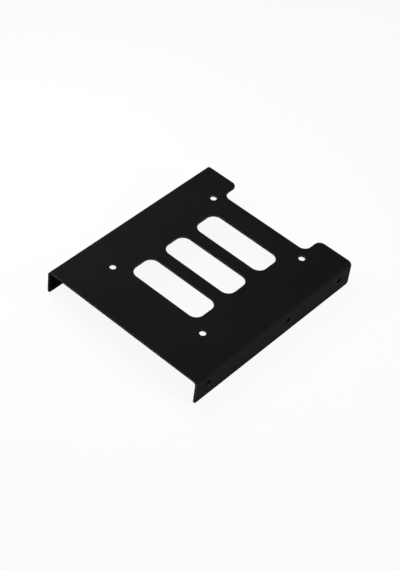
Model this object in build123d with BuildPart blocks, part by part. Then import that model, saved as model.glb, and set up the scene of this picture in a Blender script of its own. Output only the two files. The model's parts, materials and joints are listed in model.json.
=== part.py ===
from build123d import *
from math import isclose
import os

# Drive bay adapter bracket: one sheet of steel, folded down along both sides.
# It carries a 2.5 inch drive in a bay made for a 3.5 inch drive.
# Origin: centred under the bracket, level with the lower edges of its flanges.
# X runs across the bay, Y runs towards the connector notch, Z is up.

# Sheet and folds
sheet = 1.0
inner_bend = 1.5
edge_break = 0.15

# Outside sizes
bay_width = 101.6
plate_length = 120.0
flange_height = 15.4
flange_corner = 1.5

# Connector notch in the back edge, between two tabs
notch_width = 57.2
notch_depth = 11.6
notch_corner = 4.2
tab_corner = 3.8

# Slots side by side along the plate
slot_length = 46.0
slot_width = 16.0
slot_corner = 5.0
slot_pitch = 24.0
slot_count = 3
slots_to_notch = 14.2

# Four clearance holes for the screws of a 2.5 inch drive
drive_hole = 3.5
drive_hole_across = 61.72
drive_hole_along = 76.6
drive_holes_to_notch = 5.6

# Three threaded holes in each flange, as far apart as on a 3.5 inch drive
side_hole = 3.5
side_hole_height = 8.0
front_to_middle_hole = 60.33
front_to_back_hole = 101.6

# The collar that each threaded hole is drawn into, to hold more of the thread
collar_height = 1.2
collar_wall = 0.6
collar_lip = 0.15
collar_entry = 0.4

# Places worked out from the sizes above
half_width = bay_width / 2
inside = half_width - sheet
outer_bend = inner_bend + sheet
front = -plate_length / 2
back = plate_length / 2
notch_edge = back - notch_depth
slots_middle = notch_edge - slots_to_notch - slot_width / 2 - slot_pitch * (slot_count - 1) / 2
drive_holes_middle = notch_edge - drive_holes_to_notch - drive_hole_along / 2
side_holes = [
    (along - front_to_back_hole / 2, side_hole_height)
    for along in (0, front_to_middle_hole, front_to_back_hole)
]
plate_top = Plane.XY.offset(flange_height)


def channel(width, height, bend):
    """A section that is open below, with both of its upper corners bent."""
    with BuildSketch() as outline:
        Rectangle(width, height, align=(Align.CENTER, Align.MIN))
        fillet(outline.vertices().group_by(Axis.Y)[-1], bend)
    return outline.sketch


def same(size, other):
    return isclose(size, other, abs_tol=0.001)


def rings(edges, radius, across):
    """The round edges of one radius whose centres lie this far out, left and right."""
    circles = edges.filter_by(GeomType.CIRCLE).filter_by(lambda edge: same(edge.radius, radius))
    return circles.filter_by(lambda edge: same(abs(edge.arc_center.X), across))


with BuildPart() as bracket:
    # The folded sheet
    with BuildSketch(Plane.XZ.offset(-front)):
        add(channel(bay_width, flange_height, outer_bend))
        add(channel(2 * inside, flange_height - sheet, inner_bend), mode=Mode.SUBTRACT)
    extrude(amount=-plate_length)

    # Lower corners of the flanges
    fillet(bracket.edges().filter_by(Axis.X).group_by(Axis.Z)[0], flange_corner)

    # Connector notch, and the corners where it leaves the tabs
    with BuildSketch(plate_top) as notch:
        with Locations((0, back)):
            Rectangle(notch_width, 2 * notch_depth)
        fillet(notch.vertices().group_by(Axis.Y)[0], notch_corner)
    extrude(amount=-sheet, mode=Mode.SUBTRACT)
    fillet(bracket.edges(Select.LAST).filter_by(Axis.Z).group_by(Axis.Y)[-1], tab_corner)

    # Slots
    with BuildSketch(plate_top):
        with Locations((0, slots_middle)):
            with GridLocations(0, slot_pitch, 1, slot_count):
                RectangleRounded(slot_length, slot_width, slot_corner)
    extrude(amount=-sheet, mode=Mode.SUBTRACT)

    # Drive holes
    with Locations(plate_top):
        with Locations((0, drive_holes_middle)):
            with GridLocations(drive_hole_across, drive_hole_along, 2, 2):
                Hole(drive_hole / 2, depth=sheet)

    # Every cut edge is broken a little, on both sides of the sheet.
    # Edges as long as the sheet is thick run through it, and the longest ones are fold lines.
    cut_edges = bracket.edges().filter_by(lambda edge: not same(edge.length, sheet))
    cut_edges = cut_edges.filter_by(lambda edge: not same(edge.length, plate_length))
    chamfer(cut_edges, edge_break)

    # Collars on the inside of the flanges, and the holes through them
    for side in (-1, 1):
        with BuildSketch(Plane.YZ.offset(side * inside)):
            with Locations(*side_holes):
                Circle(side_hole / 2 + collar_wall)
        extrude(amount=-side * collar_height)
    with Locations(Plane.YZ):
        with Locations(*side_holes):
            Hole(side_hole / 2)
    chamfer(rings(bracket.edges(), side_hole / 2 + collar_wall, inside - collar_height), collar_lip)
    fillet(rings(bracket.edges(), side_hole / 2, half_width), collar_entry)

bracket.part.label = "bracket"

os.makedirs("parts", exist_ok=True)
export_step(bracket.part, "parts/bracket.step")
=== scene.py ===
import json
import math

import bmesh
import bpy
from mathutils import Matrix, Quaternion, Vector


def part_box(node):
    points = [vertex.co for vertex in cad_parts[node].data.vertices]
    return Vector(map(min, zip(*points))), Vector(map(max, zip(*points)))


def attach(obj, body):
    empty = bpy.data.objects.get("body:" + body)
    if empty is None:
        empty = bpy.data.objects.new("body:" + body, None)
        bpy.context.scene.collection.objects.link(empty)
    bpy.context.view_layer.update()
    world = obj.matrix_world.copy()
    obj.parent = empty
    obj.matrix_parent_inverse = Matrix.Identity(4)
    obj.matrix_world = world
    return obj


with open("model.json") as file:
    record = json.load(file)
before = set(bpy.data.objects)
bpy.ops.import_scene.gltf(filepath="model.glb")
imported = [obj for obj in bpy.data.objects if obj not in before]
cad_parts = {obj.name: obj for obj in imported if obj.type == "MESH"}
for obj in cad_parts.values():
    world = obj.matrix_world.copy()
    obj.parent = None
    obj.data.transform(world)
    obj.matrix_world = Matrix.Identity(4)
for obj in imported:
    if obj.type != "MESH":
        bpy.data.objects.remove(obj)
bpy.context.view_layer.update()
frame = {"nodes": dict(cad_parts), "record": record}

# Drive bay adapter bracket. The folded sheet comes from the frame and gets its powder coat here,
# and each of its six side holes gets a thread. All lengths are in metres.
MM = 0.001
BRACKET = frame["nodes"]["bracket"]
MOUNTS = {mount["name"]: mount for mount in frame["record"]["mounts"]}
HALF_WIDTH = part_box("bracket")[1].x
SHEET = MOUNTS["plate_top"]["pos_m"][2] - MOUNTS["plate_underside"]["pos_m"][2]
BORE_RADIUS = MOUNTS["left_end_holes"]["dims"]["hole_r_mm"] * MM

# The photograph's viewpoint, round a point near the middle of the bracket. Angles are in degrees.
CAMERA_AIM = Vector((0.0034, -0.0046, 0.0077))
CAMERA_DISTANCE = 0.772
CAMERA_AZIMUTH = 36.95
CAMERA_ELEVATION = 45.5
CAMERA_ROLL = 7.5
CAMERA_LENS = 95.4
CLIP_START = 0.01
CLIP_END = 50

# Light, and a floor whose rim curves up into a low wall
WORLD_LEVEL = 0.2
FLOOR_RADIUS = 6.0
FLOOR_CURVE = 1.5
WALL_HEIGHT = 3.5
FLOOR_DROP = 0.05 * MM
FLOOR_SIDES = 64
CURVE_STEPS = 8
FLOOR_COLOUR = (0.88, 0.88, 0.88, 1)
WHITE = (1, 1, 1, 1)

# How much of the floor is plain white where it is seen. Mirrored, it darkens in the bracket's shade,
# which reaches this far and goes from full shade to none over this range of open sky.
WHITE_SHARE = 0.92
SHADE_REACH = 60 * MM
SHADE_RANGE = (0.35, 1)
SHADE_SAMPLES = 8

# Powder coat: its colours, and the sizes and heights of its texture
COAT_DARK = (0.0058, 0.0064, 0.0073, 1)
COAT_LIGHT = (0.0076, 0.0082, 0.0091, 1)
COAT_SPECULAR = 0.032
COAT_ROUGHNESS = (0.66, 0.8)
GRAIN = 0.3 * MM
GRAIN_HEIGHT = 0.006 * MM
PEEL = 1.8 * MM
PEEL_HEIGHT = 0.012 * MM
CLOUD = 28 * MM

# Paler colour along the edges: a thinner coat there, and a painted highlight where light catches the cut
# edges. It comes in patches, and between them it shows by the first share.
THINNER_COAT_AND_HIGHLIGHT = (0.11, 0.111, 0.113, 1)
THINNER_AND_HIGHLIGHT_PATCH = 3 * MM
THINNER_AND_HIGHLIGHT_RANGE = (0.35, 0.65)
THINNER_AND_HIGHLIGHT_SHARES = (0.4, 1)

# An edge is where the normal of a rounded copy departs from the real one, by the cosine between them
EDGE_RADIUS = 0.35 * MM
EDGE_SAMPLES = 4
EDGE_COSINES = (0.995, 0.93)

# Steel of the threads, darker than the coat, with marks left by the tap
STEEL_DARK = (0.0022, 0.0023, 0.0026, 1)
STEEL_LIGHT = (0.004, 0.0042, 0.0046, 1)
STEEL_SPECULAR = 0.02
STEEL_ROUGHNESS = (0.45, 0.6)
TAP_MARK = 0.4 * MM
TAP_MARK_HEIGHT = 0.004 * MM

# The range that most of a noise lies in, and a full range
NOISE_RANGE = (0.3, 0.7)
FULL_RANGE = (0, 1)

# The Mix node's colour sockets go by number, because its other sockets have the same names
MIX_SHARE = 0
MIX_FIRST = 6
MIX_SECOND = 7
MIX_RESULT = 2

# The collar of a side hole stands in from the sheet, and its outer end is rounded
COLLAR_HEIGHT = 1.2 * MM
ROUNDED_ENTRY = 0.4 * MM

# Thread of a 6-32 screw, with 32 turns to the inch. The two widths are shares of the pitch.
PITCH = 25.4 * MM / 32
CREST_RADIUS = 1.36 * MM
ROOT_WIDTH = 0.85
CREST_WIDTH = 0.22
RUN_OUT = 0.35 * MM
SUNK = 0.03 * MM
BACKING = 0.2 * MM
STEPS_ROUND = 48
STEPS_ALONG = 40


def direction(azimuth, elevation):
    """A unit vector. Azimuth 0 lies towards -Y and azimuth 90 towards +X."""
    azimuth = math.radians(azimuth)
    elevation = math.radians(elevation)
    level = math.cos(elevation)
    return Vector((math.sin(azimuth) * level, -math.cos(azimuth) * level, math.sin(elevation)))


def aim(thing, target, azimuth, elevation, distance, roll=0):
    """Puts a camera or a lamp round a target, facing that target."""
    away = direction(azimuth, elevation)
    thing.location = target + away * distance
    thing.rotation_mode = "QUATERNION"
    turn = Quaternion((0, 0, 1), math.radians(roll))
    thing.rotation_quaternion = (-away).to_track_quat("-Z", "Y") @ turn
    bpy.context.scene.collection.objects.link(thing)


def add_camera():
    data = bpy.data.cameras.new("camera")
    data.lens = CAMERA_LENS
    data.clip_start = CLIP_START
    data.clip_end = CLIP_END
    camera = bpy.data.objects.new("camera", data)
    aim(camera, CAMERA_AIM, CAMERA_AZIMUTH, CAMERA_ELEVATION, CAMERA_DISTANCE, CAMERA_ROLL)
    bpy.context.scene.camera = camera


def add_softbox(name, azimuth, elevation, distance, size, level):
    """A round area lamp. It makes a white surface that faces it as bright as level."""
    data = bpy.data.lights.new(name, "AREA")
    data.shape = "DISK"
    data.size = size
    data.energy = level * (math.pi * distance) ** 2
    lamp = bpy.data.objects.new(name, data)
    lamp.visible_camera = False
    aim(lamp, Vector((0, 0, 0)), azimuth, elevation, distance)


def light_world():
    world = bpy.data.worlds.new("studio")
    world.use_nodes = True
    background = world.node_tree.nodes["Background"]
    background.inputs["Color"].default_value = WHITE
    background.inputs["Strength"].default_value = WORLD_LEVEL
    bpy.context.scene.world = world


class Material:
    """A node material in the making. Each method adds nodes and gives the output of the last one."""

    def __init__(self, name):
        self.data = bpy.data.materials.new(name)
        self.data.use_nodes = True
        self.data.node_tree.nodes.clear()

    def node(self, kind, inputs, **settings):
        """Adds one node. Its inputs go by name or number, and are values or other nodes' outputs."""
        tree = self.data.node_tree
        node = tree.nodes.new(kind)
        for name, value in settings.items():
            setattr(node, name, value)
        for key, value in inputs.items():
            if isinstance(value, bpy.types.NodeSocket):
                tree.links.new(value, node.inputs[key])
            else:
                node.inputs[key].default_value = value
        return node.outputs

    def noise(self, size, detail):
        """Noise from 0 to 1 whose features are about this size."""
        place = self.node("ShaderNodeTexCoord", {})["Object"]
        inputs = {"Vector": place, "Scale": 1 / size, "Detail": detail}
        return self.node("ShaderNodeTexNoise", inputs)["Fac"]

    def remap(self, value, old, new):
        """Stretches the old range to the new one, and stops at its ends."""
        ends = {"From Min": old[0], "From Max": old[1], "To Min": new[0], "To Max": new[1]}
        return self.node("ShaderNodeMapRange", {"Value": value, **ends})["Result"]

    def math(self, operation, first, second):
        return self.node("ShaderNodeMath", {0: first, 1: second}, operation=operation)["Value"]

    def blend(self, share, first, second):
        """The first colour, with a share of the second one."""
        inputs = {MIX_SHARE: share, MIX_FIRST: first, MIX_SECOND: second}
        return self.node("ShaderNodeMix", inputs, data_type="RGBA")[MIX_RESULT]

    def bump(self, height, distance, under=None):
        """The normal of a bumpy surface, on top of the bumps of another normal if one is given."""
        inputs = {"Height": height, "Distance": distance}
        if under is not None:
            inputs["Normal"] = under
        return self.node("ShaderNodeBump", inputs)["Normal"]

    def edges(self, radius):
        """1 at the edges and 0 farther than the radius from them."""
        rounded = self.node("ShaderNodeBevel", {"Radius": radius}, samples=EDGE_SAMPLES)["Normal"]
        real = self.node("ShaderNodeNewGeometry", {})["Normal"]
        cosine = self.node("ShaderNodeVectorMath", {0: rounded, 1: real}, operation="DOT_PRODUCT")["Value"]
        return self.remap(cosine, EDGE_COSINES, FULL_RANGE)

    def finish(self, shader):
        self.node("ShaderNodeOutputMaterial", {"Surface": shader})
        return self.data

    def surface(self, colour, roughness, specular, normal):
        """Ends the material with an opaque surface."""
        look = {"Base Color": colour, "Roughness": roughness, "Normal": normal}
        look["Specular IOR Level"] = specular
        return self.finish(self.node("ShaderNodeBsdfPrincipled", look)["BSDF"])


def powder_coat():
    """Black powder coat: fine grain over a slight orange peel, paler along the cut edges from a thinner
    coat and a painted highlight.
    """
    coat = Material("powder_coat")
    peel = coat.noise(PEEL, detail=2)
    grain = coat.noise(GRAIN, detail=3)
    texture = coat.bump(grain, GRAIN_HEIGHT, under=coat.bump(peel, PEEL_HEIGHT))
    roughness = coat.remap(peel, NOISE_RANGE, COAT_ROUGHNESS)

    cloud = coat.remap(coat.noise(CLOUD, detail=3), NOISE_RANGE, FULL_RANGE)
    patches = coat.remap(coat.noise(THINNER_AND_HIGHLIGHT_PATCH, detail=2), THINNER_AND_HIGHLIGHT_RANGE, THINNER_AND_HIGHLIGHT_SHARES)
    # The edge mask paints a highlight along the cut edges, together with their thinner, paler coat
    thinner_and_highlight = coat.math("MULTIPLY", coat.edges(EDGE_RADIUS), patches)
    colour = coat.blend(thinner_and_highlight, coat.blend(cloud, COAT_DARK, COAT_LIGHT), THINNER_COAT_AND_HIGHLIGHT)
    return coat.surface(colour, roughness, COAT_SPECULAR, texture)


def dark_thread_steel():
    """Steel of the threads: darker than the coat, and a little streaky."""
    steel = Material("dark_thread_steel")
    marks = steel.noise(TAP_MARK, detail=2)
    texture = steel.bump(marks, TAP_MARK_HEIGHT)
    colour = steel.blend(steel.remap(marks, NOISE_RANGE, FULL_RANGE), STEEL_DARK, STEEL_LIGHT)
    roughness = steel.remap(marks, NOISE_RANGE, STEEL_ROUGHNESS)
    return steel.surface(colour, roughness, STEEL_SPECULAR, texture)


def join_rings(mesh, rings):
    """Faces between each ring of points and the next one."""
    for low, high in zip(rings, rings[1:]):
        for step in range(len(low)):
            after = (step + 1) % len(low)
            mesh.faces.new((low[step], low[after], high[after], high[step]))


def add_piece(name, mesh, material):
    """Turns mesh code into a smooth object with one material."""
    bmesh.ops.recalc_face_normals(mesh, faces=mesh.faces)
    for face in mesh.faces:
        face.smooth = True
    data = bpy.data.meshes.new(name)
    mesh.to_mesh(data)
    mesh.free()
    data.materials.append(material)
    piece = bpy.data.objects.new(name, data)
    bpy.context.scene.collection.objects.link(piece)
    return piece


def floor_paint():
    """White floor. Where it is seen it is mostly plain white, and the rest keeps the shadow.

    Mirrored in the coat, it is white only in the open and not in the shade of the bracket."""
    paint = Material("floor_paint")
    path = paint.node("ShaderNodeLightPath", {})
    shade = {"Distance": SHADE_REACH}
    sky = paint.node("ShaderNodeAmbientOcclusion", shade, samples=SHADE_SAMPLES)["AO"]
    mirrored = paint.math("MAXIMUM", path["Is Glossy Ray"], path["Is Transmission Ray"])
    mirrored = paint.math("MULTIPLY", mirrored, paint.remap(sky, SHADE_RANGE, FULL_RANGE))
    seen = paint.math("MAXIMUM", path["Is Camera Ray"], mirrored)
    matt = paint.node("ShaderNodeBsdfDiffuse", {"Color": FLOOR_COLOUR})["BSDF"]
    white = paint.node("ShaderNodeEmission", {"Color": WHITE, "Strength": 1})["Emission"]
    share = paint.math("MULTIPLY", seen, WHITE_SHARE)
    return paint.finish(paint.node("ShaderNodeMixShader", {0: share, 1: matt, 2: white})["Shader"])


def add_floor():
    """A flat disc whose rim curves up into a low wall, so that the horizon is white all round."""
    start = FLOOR_RADIUS - FLOOR_CURVE
    rise = [math.radians(90 * step / CURVE_STEPS) for step in range(CURVE_STEPS + 1)]
    profile = [(start + FLOOR_CURVE * math.sin(turn), FLOOR_CURVE * (1 - math.cos(turn))) for turn in rise]
    profile.append((FLOOR_RADIUS, WALL_HEIGHT))
    around = [math.tau * step / FLOOR_SIDES for step in range(FLOOR_SIDES)]
    mesh = bmesh.new()
    rings = []
    for radius, height in profile:
        level = height - FLOOR_DROP
        points = [(radius * math.cos(turn), radius * math.sin(turn), level) for turn in around]
        rings.append([mesh.verts.new(point) for point in points])
    mesh.faces.new(rings[0])
    join_rings(mesh, rings)
    stage = add_piece("floor", mesh, floor_paint())


def side_holes():
    """For each side hole: its thread's name, which way along X it faces, and its Y and Z."""
    for side in ("left", "right"):
        ends = MOUNTS[f"{side}_end_holes"]
        pair = MOUNTS[f"{side}_front_holes"]
        x, middle, z = ends["pos_m"]
        reach = ends["dims"]["spacing_x_mm"] * MM / 2
        second = pair["pos_m"][1] + pair["dims"]["spacing_x_mm"] * MM / 2
        for place, y in (("front", middle - reach), ("middle", second), ("back", middle + reach)):
            yield f"thread_{side}_{place}", math.copysign(1, x), y, z


def thread_height(turn, along):
    """How far the thread stands up from its root, from 0 to 1 at the crest."""
    off_crest = abs((along / PITCH - turn) % 1 - 0.5)
    flank = (ROOT_WIDTH / 2 - off_crest) / (ROOT_WIDTH / 2 - CREST_WIDTH / 2)
    return min(max(flank, 0), 1)


def add_thread(name, outward, y, z, material):
    """A threaded lining of one side hole. Its root, back and ends lie inside the metal."""
    length = SHEET + COLLAR_HEIGHT - ROUNDED_ENTRY - SUNK
    root = BORE_RADIUS + SUNK
    mesh = bmesh.new()

    def add_ring(along, radius_at):
        across = outward * (HALF_WIDTH - ROUNDED_ENTRY - length + along)
        ring = []
        for step in range(STEPS_ROUND):
            angle = math.tau * step / STEPS_ROUND
            radius = radius_at(step / STEPS_ROUND)
            point = (across, y + radius * math.cos(angle), z + radius * math.sin(angle))
            ring.append(mesh.verts.new(point))
        return ring

    rings = []
    for step in range(STEPS_ALONG + 1):
        along = length * step / STEPS_ALONG
        depth = min((length - along) / RUN_OUT, 1) * (root - CREST_RADIUS)
        rings.append(add_ring(along, lambda turn: root - depth * thread_height(turn, along)))
    rings.append(add_ring(length, lambda turn: BORE_RADIUS + BACKING))
    rings.append(add_ring(0, lambda turn: BORE_RADIUS + BACKING))
    join_rings(mesh, rings + rings[:1])
    thread = add_piece(name, mesh, material)
    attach(thread, "root")


add_camera()
light_world()
add_softbox("key", azimuth=-80, elevation=53, distance=0.24, size=0.2, level=0.9)
add_softbox("rim", azimuth=110, elevation=20, distance=0.8, size=0.3, level=0.65)
add_floor()

coat = powder_coat()
for slot in BRACKET.material_slots:
    slot.material = coat
steel = dark_thread_steel()
for name, outward, y, z in side_holes():
    add_thread(name, outward, y, z, steel)

bpy.context.scene.view_settings.view_transform = "Standard"
